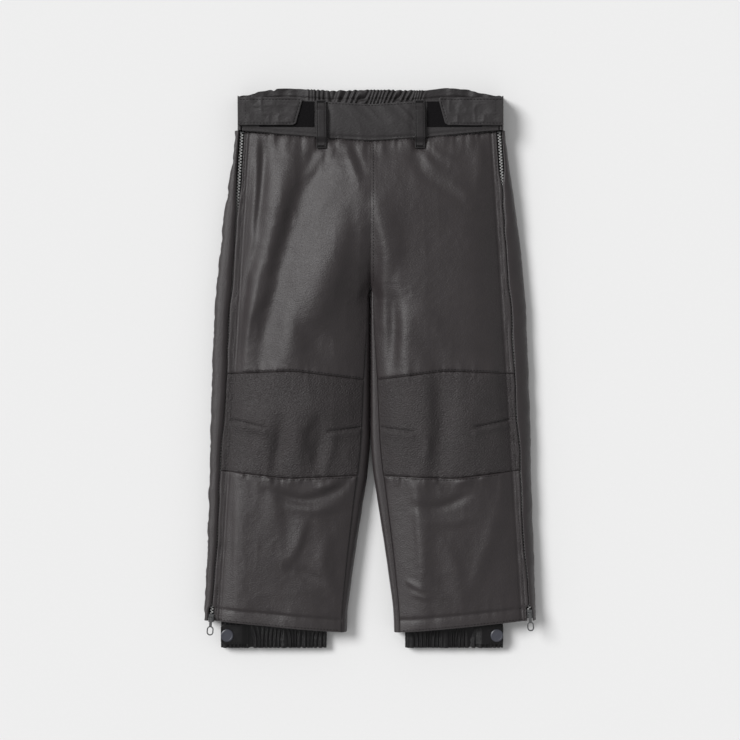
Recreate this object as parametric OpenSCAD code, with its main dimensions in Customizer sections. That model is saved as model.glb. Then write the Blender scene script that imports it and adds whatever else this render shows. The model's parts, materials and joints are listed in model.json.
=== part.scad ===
// Child's insulated ski pants, lying flat on their back.
// +Y runs toward the waist, +Z up through the front, and +X is the wearer's left.
// The origin is on the floor under the middle of the garment.

/* [Leg outline] */
// Height of the crotch point on the length axis
crotch_y = 100; // [80:1:120]
// Height of the side zips above the floor, which is also half the leg's depth doubled
zip_z = 24; // [24:0.5:30]
// Extra height of the front at its fullest, above the side zips
crown_max = 16; // [8:0.5:22]
// Roundness of the side and inseam bulges
bulge_power = 3; // [2.5:0.1:5]

/* [Layers] */
// Thickness of the outer shell fabric
shell_t = 1; // [0.8:0.1:1]
// Thickness of the quilted insulation
insulation_t = 3.4; // [2:0.1:3.4]
// Thickness of the lining
lining_t = 0.8; // [0.6:0.1:0.8]
// Clearance between neighbouring layers and panels
layer_gap = 0.2; // [0.2:0.05:0.4]
// Clearance between the front shell and its insulation
front_loft = 0.9; // [0.8:0.05:1]

/* [Waist] */
// Thickness of the waistband plies
band_t = 1.2; // [0.8:0.1:1.2]
// Height of the front waistband's upper face
band_z = 28.4; // [28.4:0.1:28.6]
// Width of each belt loop
loop_w = 12; // [8:0.5:14]
// Clear height under each belt loop
loop_gap = 4.6; // [4.2:0.1:7]

/* [Adjuster tabs] */
// Distance from the centre to the fold of each tab
tab_hinge_x = 118; // [112:1:124]
// Lower edge of each tab
tab_y0 = 285; // [284:0.5:288]
// Upper edge of each tab
tab_y1 = 317.5; // [312:0.5:318]
// Thickness of the tab fabric
tab_t = 1.2; // [0.8:0.1:1.6]

/* [Side zips] */
// Distance from the centre to the upper end of each zip
zip_top_x = 150.5; // [150:0.1:151]
// Upper end of each zip on the length axis
zip_top_y = 283; // [282:0.5:284]
// Angle of each zip away from the length axis
zip_angle = 3.6; // [3.5:0.05:3.7]
// Width of the slit between the two zip lips
slit = 2; // [1.8:0.1:2.4]
// Width of the flat lip on the front of each zip
lip = 9.5; // [9:0.5:11]
// Place of the left slider's middle on the length axis
slider_left_y = -286; // [-288:0.5:-280]
// Place of the right slider's middle on the length axis
slider_right_y = -291; // [-292:0.5:-280]

/* [Gaiters] */
// Middle of the left gaiter
gaiter_left_x = 98.5; // [95:0.5:105]
// Half the width of the left gaiter
gaiter_left_half = 57.5; // [50:0.5:60]
// Middle of the right gaiter
gaiter_right_x = 114; // [105:0.5:116]
// Half the width of the right gaiter
gaiter_right_half = 62; // [55:0.5:64]
// Lower edge of the gaiters
gaiter_y0 = -327; // [-329:0.5:-322]
// Diameter of the snap caps
snap_d = 15; // [12:0.5:15]

/* [Hidden] */

// Colours
shell_c = "#4b4849";
knee_c = "#434142";
band_c = "#3e3c3c";
black_c = "#1c1b1c";
lining_c = "#565457";
filling_c = "#d8d8d6";
metal_c = "#8a8d90";
cap_c = "#5c6570";
gaiter_c = "#2a2829";

// Outlines of the right-hand half, as [place on the length axis, distance from the centre]
outer_edge = [
    [-330, 196], [-240, 193], [-130, 189], [-60, 188], [0, 185.5], [70, 183.5],
    [130, 178], [180, 172], [230, 164.5], [270, 158], [330, 156]
];
inner_edge = [[-330, 29], [-280, 27], [-220, 18.5], [-170, 11], [-120, 3], [-85, 0.5], [120, 0.5]];
inner_wrap = [[-330, 7], [-280, 7], [-220, 9.5], [-130, 13], [-80, 11], [0, 8], [120, 7]];
crown_rise = [[-330, 0.4], [-280, 0.5], [-130, 0.85], [0, 1], [100, 1], [200, 0.9], [236, 0.55],
    [250, 0.29], [285, 0.26]];
centre_rise = [[100, 0], [130, 0.35], [200, 0.75], [270, 0.95]];
crown_power = 2.6;
panel_shares = [0, 0.055, 0.12, 0.22, 0.36, 0.5, 0.64, 0.78, 0.9, 1];

// Seams, by distance from the centre or by the share of the way from zip to inseam
waist_seam = [[0, 268], [50, 271], [95, 275], [150, 280]];
front_top = [[0, 310], [66, 314], [150, 318]];
back_top = [[0, 326], [50, 325], [100, 329], [125, 327], [150, 321]];
knee_top = [[0, -5], [0.5, -2], [1, -12]];
knee_bottom = [[0, -118], [0.5, -127], [1, -124]];
hem_outer_y = -294;
hem_inner_y = -308;
centre_gap = 0.4;
seam_gap = 0.3;
half_z = zip_z / 2;
band_wrap_x = 151;
band_half = 150;

// Offsets of the two faces of each layer from the outer surface
insulation_d0 = shell_t + layer_gap;
insulation_d1 = insulation_d0 + insulation_t;
front_d0 = shell_t + front_loft;
lining_d0 = insulation_d1 + layer_gap;
lining_d1 = lining_d0 + lining_t;
inner_layer_start = 22.5;
inner_layer_top = 266;
inner_layer_hem = -272;
facing_hem = -277;
facing_rows = [facing_hem, -292, hem_inner_y + 1];
front_setback = 11;

// Zip hardware, measured from the slit and from the height of the lips
tape_z0 = zip_z - 5;
tape_t = 0.6;
tape_in = 0.7;
tape_out = 4.6;
tape_front = 10.5;
coil_t = 1.8;
coil_w = 1.6;
slider_l = 9.5;
slider_half = 3.1;
plate_t = 0.8;
post_w = 0.8;
crown_z = zip_z + 0.3;
pin_z = zip_z + 2.5;
pin_r = 0.6;
eye_r = 1.35;
ring_w = 8;
ring_l = 11;
ring_bar = 1.4;
pull_offset = 14.5;
zip_length = (zip_top_y - hem_outer_y) / cos(zip_angle) - 2;

// Gaiter levels
gaiter_top_z = 13;
gaiter_power = 6;
gaiter_t = 0.8;
gaiter_y1 = -279;
gaiter_floor = [[-330, 0.3], [-313, 0.3], [-302, 2.5], [-270, 2.5]];
flap_z = 15.2;
flap_t = 1;
flap_w = 23.5;
snap_inset = 7.5;
snap_y = -312.5;
flap_y0 = -323;
flap_y1 = -299.5;

function mix(a, b, t) = a * (1 - t) + b * t;
function ease(t) = let (c = min(1, max(0, t))) c * c * (3 - 2 * c);
function outer_x(y) = lookup(y, outer_edge);
function inner_x(y) = lookup(y, inner_edge);
function seam_x(y) = inner_x(y) + lookup(y, inner_wrap);
function zip_x(y) = zip_top_x + (zip_top_y - y) * tan(zip_angle);

// Quarter to half of a rounded bulge, from straight up at 90 to straight down at -90
function bulge(a, b, angle, power) =
    [a * pow(abs(cos(angle)), 2 / power), b * sign(sin(angle)) * pow(abs(sin(angle)), 2 / power)];

// Front: the height of the outer surface, and the edge of the panel toward the middle
function front_in_x(y) = mix(centre_gap, seam_x(y), ease((crotch_y + 2 - y) / 20));
function front_z(x, y) =
    let (
        xa = zip_x(y) - lip,
        t = min(1, max(0, (xa - x) / (xa - front_in_x(y)))),
        c = t < 0.5 ? 0 : lookup(y, centre_rise) * (y > crotch_y ? 1 : 0)
    )
    zip_z + crown_max * lookup(y, crown_rise) * (1 - (1 - c) * pow(abs(2 * t - 1), crown_power));

// One point of the shell: share s from the zip to the middle, offset d under the surface
function front_point(s, y, d) =
    let (x = mix(zip_x(y) - slit / 2, front_in_x(y), s))
    [x, y, front_z(x, y) - d];

// The shell between two seams, each a table by the share s, with rows at the shares v
function front_grid(top, bottom, rows, d) =
    [for (v = rows) [for (s = panel_shares)
        front_point(s, mix(lookup(s, top), lookup(s, bottom), v), d)]];

// An inner layer keeps the shell's columns, and ends clear of the zip and of the inseam
function layer_in_x(y) = mix(centre_gap + seam_gap, seam_x(y) + 0.6, ease((118 - y) / 10));
function layer_point(s, y, d) =
    let (
        shell_x = mix(zip_x(y) - slit / 2, front_in_x(y), s),
        x = max(layer_in_x(y), min(zip_x(y) - front_setback, shell_x))
    )
    [x, y, front_z(x, y) - d];

// Back: one row of a layer, from the zip round the outside, along the floor, up the inseam
function row_y(y, s) =
    y + (lookup(zip_top_x * (1 - s), waist_seam) - 268) * ease((y - 200) / 68)
    + (hem_outer_y - hem_inner_y) * (1 - s) * ease((-y - 200) / 108);
function back_row(y, d, start, n_wrap, n_floor) =
    let (
        ya = row_y(y, 0),
        xc = zip_x(ya) + slit / 2,
        a = max(outer_x(ya) - xc - d, 0.9 - 0.1 * d),
        xs = seam_x(y),
        b = half_z - d,
        w = ease((crotch_y + 10 - y) / 20),
        a_in = max(lookup(y, inner_wrap) - d, 0.9 - 0.1 * d)
    )
    concat(
        [for (i = [0:n_wrap])
            let (p = bulge(a, b, start - (90 + start) * i / n_wrap, bulge_power))
            [xc + p[0], ya, half_z + p[1]]],
        [for (i = [1:n_floor - 1])
            let (s = i / n_floor)
            [mix(xc, xs - seam_gap, s), row_y(y, s), d]],
        [for (i = [0:n_wrap])
            let (
                s = i / n_wrap,
                p = bulge(a_in, b, -90 + (90 + start) * s, bulge_power),
                wall = [xs - seam_gap - p[0], half_z + p[1]],
                flat = [mix(xs - seam_gap, centre_gap, s * (90 + start) / 180), d]
            )
            [mix(flat[0], wall[0], w), y, mix(flat[1], wall[1], w)]]
    );

// Closed sheet between two grids of points; flip is for grids whose outer face looks up
module sheet(outer, inner, flip = false) {
    rows = len(outer);
    cols = len(outer[0]);
    n = rows * cols;
    points = concat([for (r = outer) each r], [for (r = inner) each r]);
    skins = [for (i = [0:rows - 2], j = [0:cols - 2])
        let (a = i * cols + j, b = a + 1, c = a + cols, e = c + 1)
        each [[a, b, e], [a, e, c], [n + a, n + e, n + b], [n + a, n + c, n + e]]];
    sides = [for (i = [0:rows - 2])
        let (a = i * cols, c = a + cols, b = a + cols - 1, e = c + cols - 1)
        each [[a, c, n + c], [a, n + c, n + a], [b, n + e, e], [b, n + b, n + e]]];
    ends = [for (j = [0:cols - 2])
        let (a = j, b = j + 1, c = (rows - 1) * cols + j, e = c + 1)
        each [[a, n + b, b], [a, n + a, n + b], [c, e, n + e], [c, n + e, n + c]]];
    faces = concat(skins, sides, ends);
    polyhedron(points, flip ? [for (f = faces) [f[2], f[1], f[0]]] : faces, convexity = 6);
}

// Closed tube between two grids whose rows run all the way round
module tube(outer, inner) {
    rows = len(outer);
    cols = len(outer[0]);
    n = rows * cols;
    points = concat([for (r = outer) each r], [for (r = inner) each r]);
    skins = [for (i = [0:rows - 2], j = [0:cols - 1])
        let (k = (j + 1) % cols, a = i * cols + j, b = i * cols + k, c = a + cols, e = b + cols)
        each [[a, b, e], [a, e, c], [n + a, n + e, n + b], [n + a, n + c, n + e]]];
    ends = [for (j = [0:cols - 1])
        let (k = (j + 1) % cols, c = (rows - 1) * cols + j, e = (rows - 1) * cols + k)
        each [[j, n + k, k], [j, n + j, n + k], [c, e, n + e], [c, n + e, n + c]]];
    polyhedron(points, concat(skins, ends), convexity = 6);
}

module on_side(side) {
    if (side > 0) children();
    else mirror([1, 0, 0]) children();
}

// Local frame of a zip: origin on the slit at its upper end, +X outward, -Y toward the hem
module at_zip(side) {
    on_side(side) translate([zip_top_x, zip_top_y, 0]) rotate([0, 0, zip_angle]) children();
}

// --- Legs -----------------------------------------------------------------------------
module front_panel(top, bottom, rows) {
    sheet(
        front_grid(top, bottom, rows, 0),
        front_grid(top, bottom, rows, shell_t),
        flip = true
    );
}

function waist_by_share() = [for (s = [0:0.25:1])
    [s, lookup(zip_top_x * (1 - s), waist_seam) - seam_gap]];
function shifted(table, by) = [for (p = table) [p[0], p[1] + by]];
thigh_rows = [0, 0.03, 0.06, 0.085, 0.11, 0.14, 0.18, 0.23, 0.29, 0.36, 0.43, 0.5, 0.56, 0.6,
    0.625, 0.65, 0.675, 0.71, 0.78, 0.85, 0.92, 1];

module thigh_panel(side) {
    color(shell_c) on_side(side)
        front_panel(waist_by_share(), shifted(knee_top, seam_gap), thigh_rows);
}

module knee_patch(side) {
    color(knee_c) on_side(side) front_panel(knee_top, knee_bottom, [for (i = [0:7]) i / 7]);
}

module shin_panel(side) {
    hem = [[0, hem_outer_y], [1, hem_inner_y]];
    color(shell_c) on_side(side)
        front_panel(shifted(knee_bottom, -seam_gap), hem, [for (i = [0:10]) i / 10]);
}

back_rows = [268, 240, 205, 170, 135, 112, 105, 99, 93, 86, 60, 25, -15, -60, -85, -120,
    -160, -200, -240, -280, -308];

module back_panel(side) {
    color(shell_c) on_side(side) sheet(
        [for (y = back_rows) back_row(y, 0, 90, 8, 3)],
        [for (y = back_rows) back_row(y, shell_t, 90, 8, 3)]
    );
}

inner_rows = concat([inner_layer_top],
    [for (y = back_rows) if (y < inner_layer_top - 5 && y > inner_layer_hem + 5) y],
    [inner_layer_hem]);

module back_layer(side, d0, d1) {
    on_side(side) sheet(
        [for (y = inner_rows) back_row(y, d0, inner_layer_start, 5, 3)],
        [for (y = inner_rows) back_row(y, d1, inner_layer_start, 5, 3)]
    );
}

layer_rows = [266, 258, 250, 243, 236, 227, 214, 200, 184, 168, 152, 136, 124, 118, 115, 112, 108,
    102, 96, 90, 82, 68, 52, 36, 20, 5, -10, -27, -44, -61, -78, -95, -112, -130, -148, -166,
    -184, -202, -220, -238, -255, inner_layer_hem];
layer_shares = [0, 0.12, 0.22, 0.36, 0.5, 0.64, 0.78, 0.9, 1];
function layer_row(y, d) = [for (s = layer_shares)
    layer_point(s, y + (hem_outer_y - hem_inner_y) * (1 - s) * ease((-y - 200) / 108), d)];

module front_layer(side, rows, d0, d1) {
    on_side(side) sheet(
        [for (y = rows) layer_row(y, d0)],
        [for (y = rows) layer_row(y, d1)],
        flip = true
    );
}

module front_insulation(side) {
    color(filling_c) front_layer(side, layer_rows, front_d0, insulation_d1);
}

module back_insulation(side) {
    color(filling_c) back_layer(side, insulation_d0, insulation_d1);
}

module front_lining(side) {
    color(lining_c) front_layer(side, layer_rows, lining_d0, lining_d1);
}

module back_lining(side) {
    color(lining_c) back_layer(side, lining_d0, lining_d1);
}

module front_hem_facing(side) {
    color(band_c) front_layer(side, facing_rows, front_d0, front_d0 + lining_t);
}

module back_hem_facing(side) {
    color(band_c) on_side(side) sheet(
        [for (y = facing_rows) back_row(y, insulation_d0, inner_layer_start, 5, 3)],
        [for (y = facing_rows) back_row(y, insulation_d0 + lining_t, inner_layer_start, 5, 3)]
    );
}

// --- Waist ----------------------------------------------------------------------------
// Strip between two edges given by distance from the centre, mirrored about the centre
module band_plate(low, high, half, z0, z1) {
    xs = [for (i = [-6:6]) half * i / 6];
    translate([0, 0, z0]) linear_extrude(z1 - z0) polygon(concat(
        [for (x = xs) [x, lookup(abs(x), low)]],
        [for (i = [12:-1:0]) [xs[i], lookup(abs(xs[i]), high)]]
    ));
}

module front_waistband() {
    color(band_c) band_plate(waist_seam, front_top, band_half, band_z - band_t, band_z);
}

function band_path(d) = concat(
    [for (i = [0:8])
        let (p = bulge(5 - d, band_z / 2 - d, 90 - 22.5 * i, bulge_power))
        [band_wrap_x + p[0], band_z / 2 + p[1], i / 8]],
    [for (x = [125, 100, 50, 0]) [x, d, 1]]
);
function whole_path(d) = let (half = band_path(d), n = len(half)) concat(
    half, [for (i = [n - 2:-1:0]) [-half[i][0], half[i][1], half[i][2]]]);
function band_row(d, v) = [for (p = whole_path(d))
    let (
        x = min(band_half, abs(p[0])),
        low = lookup(x, waist_seam),
        high = mix(lookup(x, front_top), lookup(x, back_top), p[2])
    )
    [p[0], mix(high, low, v), p[1]]];

module back_waistband() {
    color(band_c) sheet(
        [for (v = [0, 0.5, 1]) band_row(0, v)],
        [for (v = [0, 0.5, 1]) band_row(shell_t, v)]
    );
}

module waist_elastic() {
    color("#b9b7b4") translate([-74, 274, shell_t + layer_gap]) cube([148, 44, 1.6]);
}

module waist_facing() {
    color(band_c) band_plate(shifted(waist_seam, 1), shifted(back_top, -1), 140, 3, 4);
}

// Arched strap from one sewn foot to the other
module belt_loop(side) {
    y0 = 259;
    y1 = 314;
    foot = 6;
    z0 = band_z + 0.4;
    t = 1.2;
    color(band_c) on_side(side) translate([51.5 + loop_w, 0, 0]) rotate([90, 0, -90])
        linear_extrude(loop_w) polygon([
            [-y0, z0], [-y0 - foot, z0], [-y0 - foot - 5, z0 + loop_gap],
            [-y1 + foot + 5, z0 + loop_gap], [-y1 + foot, z0], [-y1, z0], [-y1, z0 + t],
            [-y1 + foot - 0.5, z0 + t], [-y1 + foot + 4.5, z0 + loop_gap + t],
            [-y0 - foot - 4.5, z0 + loop_gap + t], [-y0 - foot + 0.5, z0 + t], [-y0, z0 + t]
        ]);
}

module loop_tape(side) {
    color(black_c) on_side(side) translate([66, 283.5, band_z]) cube([64, 29.5, 1]);
}

// Tabs: a sewn root under the strap, the strap, and the end that peels off
tab_z = band_z + 2.2;

module tab_anchor(side) {
    color(band_c) on_side(side)
        translate([143, tab_y0, band_z + 0.4]) cube([11, tab_y1 - tab_y0, 1.4]);
}

module tab_strap(side) {
    color(band_c) on_side(side)
        translate([tab_hinge_x + seam_gap, tab_y0, tab_z])
            cube([155 - tab_hinge_x, tab_y1 - tab_y0, tab_t]);
}

module tab_end(side) {
    x1 = tab_hinge_x - seam_gap;
    color(band_c) on_side(side) translate([0, 0, tab_z]) linear_extrude(tab_t)
        polygon([[x1, tab_y0], [x1, tab_y1], [78.5, tab_y1], [87.5, tab_y0]]);
}

module hook_tape(side) {
    color(black_c) on_side(side)
        translate([91, tab_y0 + 3, tab_z - 0.8]) cube([22, tab_y1 - tab_y0 - 6, 0.8]);
}

// --- Side zips ------------------------------------------------------------------------
module zip_tape(side) {
    color(black_c) at_zip(side) translate([0, -zip_length, tape_z0]) {
        translate([tape_in, 0, 0]) cube([tape_out - tape_in, zip_length - 4, tape_t]);
        translate([-tape_front, 0, 0]) cube([tape_front - tape_in, zip_length - 4, tape_t]);
    }
}

module zip_coil(side) {
    z0 = tape_z0 + tape_t;
    color("#33312f") at_zip(side) for (x = [0.6, -0.6 - coil_w])
        translate([x, 1 - zip_length, z0]) cube([coil_w, zip_length - 7, coil_t]);
}

module zip_stop(side) {
    color(metal_c) at_zip(side)
        translate([-2.6, -5.8, tape_z0 + tape_t]) cube([5.2, 1.6, coil_t + 0.4]);
}

function slider_s(side) =
    ((side > 0 ? slider_left_y : slider_right_y) - zip_top_y) / cos(zip_angle);

module slider_plate(z) {
    translate([-slider_half, -slider_l / 2, z]) cube([2 * slider_half, slider_l, plate_t]);
}

// Two plates joined by the post that parts the rows, with a bridge for the pull above
module zip_slider(side) {
    low_z = tape_z0 - 0.5 - plate_t;
    top_z = tape_z0 + tape_t + coil_t + 0.15;
    cheek_w = 0.9;
    color(metal_c) at_zip(side) translate([0, slider_s(side), 0]) {
        slider_plate(low_z);
        slider_plate(top_z);
        translate([-post_w / 2, 0.8, low_z]) cube([post_w, 3.2, top_z - low_z + plate_t]);
        for (x = [-slider_half, slider_half - 0.7])
            translate([x, -slider_l / 2, tape_z0 + tape_t + 0.4])
                cube([0.7, slider_l, top_z - tape_z0 - tape_t]);
        translate([-0.65, -2.5, top_z + plate_t / 2]) cube([1.3, 5, crown_z - top_z]);
        translate([-3, -4.5, crown_z]) cube([6, 9, 0.6]);
        for (x = [-1.9 - cheek_w, 1.9])
            translate([x, -2, crown_z + 0.3]) cube([cheek_w, 4, 3]);
        translate([-2.4, 0, pin_z]) rotate([0, 90, 0]) cylinder(h = 4.8, r = pin_r, $fn = 32);
    }
}

module oval(w, l, h) {
    r = w / 2;
    for (y = [-1, 1]) translate([0, y * (l / 2 - r), 0]) cylinder(h = h, r = r, $fn = 40);
    translate([-r, r - l / 2, 0]) cube([w, l - w, h]);
}

// Eye round the slider's pin, a flat link, and the oval ring
module zip_pull(side) {
    t = ring_bar;
    color(metal_c) at_zip(side) translate([0, slider_s(side), pin_z]) difference() {
        union() {
            translate([-1.6, 0, 0]) rotate([0, 90, 0]) cylinder(h = 3.2, r = eye_r, $fn = 32);
            translate([-1.6, -pull_offset + ring_l / 2 - 1, -t / 2])
                cube([3.2, pull_offset - ring_l / 2 + 1, t]);
            translate([0, -pull_offset, -t / 2]) oval(ring_w, ring_l, t);
        }
        translate([-3, 0, 0]) rotate([0, 90, 0]) cylinder(h = 6, r = pin_r + 0.15, $fn = 32);
        translate([0, -pull_offset, -t])
            oval(ring_w - 2 * ring_bar, ring_l - 2 * ring_bar, 2 * t);
    }
}

// --- Snow gaiters ---------------------------------------------------------------------
function gaiter_mid(side) = side > 0 ? gaiter_left_x : gaiter_right_x;
function gaiter_half(side) = side > 0 ? gaiter_left_half : gaiter_right_half;
function gaiter_ring(side, y, d, n = 28) =
    let (
        z0 = lookup(y, gaiter_floor),
        b = (gaiter_top_z - z0) / 2
    )
    [for (i = [0:n - 1])
        let (angle = 360 * (i + 0.5) / n, p = bulge(gaiter_half(side) - d, b - d, angle, gaiter_power))
        [gaiter_mid(side) + sign(cos(angle)) * p[0], y, z0 + b + p[1]]];

module gaiter_ply(side, rows, d0, d1) {
    on_side(side) tube([for (y = rows) gaiter_ring(side, y, d0)],
        [for (y = rows) gaiter_ring(side, y, d1)]);
}

module gaiter_skirt(side) {
    color(gaiter_c) gaiter_ply(side, [gaiter_y1, -302, -308, -313, gaiter_y0], 0, gaiter_t);
}

module gaiter_elastic(side) {
    color(black_c) gaiter_ply(side, [-316, gaiter_y0 + 0.5], gaiter_t + 0.2, gaiter_t + 1.2);
}

// Origin at the snap's middle, on the side's outline
module at_snap(side) {
    on_side(side) translate([gaiter_mid(side) + gaiter_half(side) - snap_inset, snap_y, 0])
        children();
}

module gaiter_flap(side) {
    color(gaiter_c) at_snap(side) difference() {
        translate([snap_inset - flap_w, flap_y0 - snap_y, flap_z])
            cube([flap_w, flap_y1 - flap_y0, flap_t]);
        translate([0, 0, flap_z - 1]) cylinder(h = 3, d = 3.4, $fn = 32);
    }
}

module snap_cap(side) {
    z1 = flap_z + flap_t;
    color(cap_c) at_snap(side) difference() {
        union() {
            translate([0, 0, z1]) rotate_extrude($fn = 48) polygon([
                [0, 0], [snap_d / 2 - 0.6, 0], [snap_d / 2, 0.5], [snap_d / 2 - 0.3, 1.1],
                [snap_d / 2 - 1.6, 1.6], [snap_d / 2 - 2.2, 1.4], [0, 1.4]
            ]);
            translate([0, 0, flap_z - 0.6]) cylinder(h = flap_t + 0.8, d = 3.2, $fn = 32);
        }
        translate([0, 0, flap_z - 1]) cylinder(h = 1.2, d = 2, $fn = 32);
    }
}

module snap_socket(side) {
    color(metal_c) at_snap(side) translate([0, 0, flap_z - 1.4]) difference() {
        cylinder(h = 1.4, d = 10, $fn = 48);
        translate([0, 0, -1]) cylinder(h = 3, d = 5, $fn = 32);
    }
}

module snap_stud(side) {
    color(metal_c) at_snap(side) translate([0, 0, gaiter_top_z]) {
        cylinder(h = 0.5, d = 9, $fn = 48);
        cylinder(h = 1.3, d = 4.2, $fn = 32);
    }
}

thigh_panel(1);  // thigh_panel_left
thigh_panel(-1);  // thigh_panel_right
knee_patch(1);  // knee_patch_left
knee_patch(-1);  // knee_patch_right
shin_panel(1);  // shin_panel_left
shin_panel(-1);  // shin_panel_right
back_panel(1);  // back_panel_left
back_panel(-1);  // back_panel_right
front_insulation(1);  // front_insulation_left
front_insulation(-1);  // front_insulation_right
back_insulation(1);  // back_insulation_left
back_insulation(-1);  // back_insulation_right
front_lining(1);  // front_lining_left
front_lining(-1);  // front_lining_right
back_lining(1);  // back_lining_left
back_lining(-1);  // back_lining_right
front_hem_facing(1);  // front_hem_facing_left
front_hem_facing(-1);  // front_hem_facing_right
back_hem_facing(1);  // back_hem_facing_left
back_hem_facing(-1);  // back_hem_facing_right
front_waistband();
back_waistband();
waist_elastic();
waist_facing();
belt_loop(1);  // belt_loop_left
belt_loop(-1);  // belt_loop_right
loop_tape(1);  // loop_tape_left
loop_tape(-1);  // loop_tape_right
tab_anchor(1);  // tab_anchor_left
tab_anchor(-1);  // tab_anchor_right
tab_strap(1);  // tab_strap_left
tab_strap(-1);  // tab_strap_right
tab_end(1);  // tab_end_left
tab_end(-1);  // tab_end_right
hook_tape(1);  // hook_tape_left
hook_tape(-1);  // hook_tape_right
zip_tape(1);  // zip_tape_left
zip_tape(-1);  // zip_tape_right
zip_coil(1);  // zip_coil_left
zip_coil(-1);  // zip_coil_right
zip_stop(1);  // zip_stop_left
zip_stop(-1);  // zip_stop_right
zip_slider(1);  // zip_slider_left
zip_slider(-1);  // zip_slider_right
zip_pull(1);  // zip_pull_left
zip_pull(-1);  // zip_pull_right
gaiter_skirt(1);  // gaiter_skirt_left
gaiter_skirt(-1);  // gaiter_skirt_right
gaiter_elastic(1);  // gaiter_elastic_left
gaiter_elastic(-1);  // gaiter_elastic_right
gaiter_flap(1);  // gaiter_flap_left
gaiter_flap(-1);  // gaiter_flap_right
snap_cap(1);  // snap_cap_left
snap_cap(-1);  // snap_cap_right
snap_socket(1);  // snap_socket_left
snap_socket(-1);  // snap_socket_right
snap_stud(1);  // snap_stud_left
snap_stud(-1);  // snap_stud_right
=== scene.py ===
"""Child's insulated ski pants, lying flat on their back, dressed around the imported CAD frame.

All shapes are worked out in millimetres in the row's frame: +Y to the waist, +Z up, +X the
wearer's left. Every panel is a fine closed sheet over the same sections as its CAD node.
"""
import json
import math

import bmesh
import bpy
import numpy as np
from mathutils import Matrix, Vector


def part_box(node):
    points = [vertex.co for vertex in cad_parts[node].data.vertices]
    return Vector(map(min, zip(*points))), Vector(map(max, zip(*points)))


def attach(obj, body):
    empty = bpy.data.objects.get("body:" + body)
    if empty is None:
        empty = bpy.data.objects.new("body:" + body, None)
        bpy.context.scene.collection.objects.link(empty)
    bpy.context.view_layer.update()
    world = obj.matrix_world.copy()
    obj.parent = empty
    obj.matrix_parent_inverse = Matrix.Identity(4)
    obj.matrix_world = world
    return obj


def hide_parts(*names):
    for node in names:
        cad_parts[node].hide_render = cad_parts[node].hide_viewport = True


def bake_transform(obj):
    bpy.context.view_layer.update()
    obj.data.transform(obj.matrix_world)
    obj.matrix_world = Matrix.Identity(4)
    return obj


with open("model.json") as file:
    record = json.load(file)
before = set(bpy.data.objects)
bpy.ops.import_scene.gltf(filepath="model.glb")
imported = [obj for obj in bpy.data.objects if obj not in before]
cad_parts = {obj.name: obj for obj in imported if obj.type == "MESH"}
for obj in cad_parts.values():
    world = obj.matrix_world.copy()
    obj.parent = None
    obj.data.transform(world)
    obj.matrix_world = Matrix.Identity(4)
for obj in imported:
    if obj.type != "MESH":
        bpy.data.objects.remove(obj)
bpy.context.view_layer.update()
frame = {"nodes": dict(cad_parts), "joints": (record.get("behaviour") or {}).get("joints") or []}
SIDES = {"left": 1, "right": -1}


# --- Measures taken from the frame
def cad_points(node):
    """The CAD node's vertices, in millimetres."""
    mesh = frame["nodes"][node].data
    co = np.empty(len(mesh.vertices) * 3)
    mesh.vertices.foreach_get("co", co)
    return co.reshape(-1, 3) * 1000


def cad_box_mm(node):
    low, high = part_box(node)
    return np.array(low) * 1000, np.array(high) * 1000


def edge_table(points, column, pick):
    """Places along one column, and the picked value of the other at each."""
    keys = np.round(points[:, column] * 2) / 2
    places = np.unique(keys)
    values = [pick(points[keys == k][:, 1 - column]) for k in places]
    return places, np.array(values)


def smooth_table(table, reach):
    """The table at every millimetre, rounded off over about reach millimetres."""
    grid = np.arange(table[0][0] - 3 * reach, table[0][-1] + 3 * reach, 1.0)
    weight = np.exp(-0.5 * (np.arange(-3 * reach, 3 * reach + 1) / reach) ** 2)
    values = np.pad(np.interp(grid, *table), 3 * reach, mode="edge")
    return grid, np.convolve(values, weight / weight.sum(), mode="valid")


joints = {j["name"]: j for j in frame["joints"]}
zip_joint = joints["zip_slide_left"]
pull_joint = joints["zip_pull_flip_left"]
ZIP_SLOPE = zip_joint["axis"][0] / zip_joint["axis"][1]
ZIP_POINT = np.array(pull_joint["pos_m"]) * 1000
ZIP_Z = cad_box_mm("back_panel_left")[1][2]
HALF_Z = ZIP_Z / 2

back_cad = cad_points("back_panel_left")
level = back_cad[np.abs(back_cad[:, 2] - HALF_Z) < 0.3]
OUTER = smooth_table(edge_table(level[level[:, 0] > 100], 1, np.max), 10)
INNER = smooth_table(edge_table(level[(level[:, 0] < 60) & (level[:, 1] < 84)], 1, np.min), 8)
band_cad = cad_points("front_waistband")
knee_cad = cad_points("knee_patch_left")
shin_cad = cad_points("shin_panel_left")
back_band_cad = cad_points("back_waistband")
WAIST_SEAM = smooth_table(edge_table(band_cad[band_cad[:, 1] < 295], 0, np.min), 8)
FRONT_TOP = smooth_table(edge_table(band_cad[band_cad[:, 1] > 295], 0, np.max), 8)
BACK_TOP = smooth_table(edge_table(back_band_cad[back_band_cad[:, 2] < 2], 0, np.max), 8)
KNEE_TOP = smooth_table(edge_table(knee_cad[knee_cad[:, 1] > -14], 0, np.max), 6)
KNEE_BOTTOM = smooth_table(edge_table(knee_cad[knee_cad[:, 1] < -116], 0, np.min), 6)
HEM = smooth_table(edge_table(shin_cad[shin_cad[:, 1] < -292], 0, np.min), 6)
BAND_Z = cad_box_mm("front_waistband")[1][2]
LOOP_LOW, LOOP_HIGH = cad_box_mm("belt_loop_left")
LOOP_X, LOOP_FOOT_Y = (LOOP_LOW[0] + LOOP_HIGH[0]) / 2, LOOP_LOW[1] + 3

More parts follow.
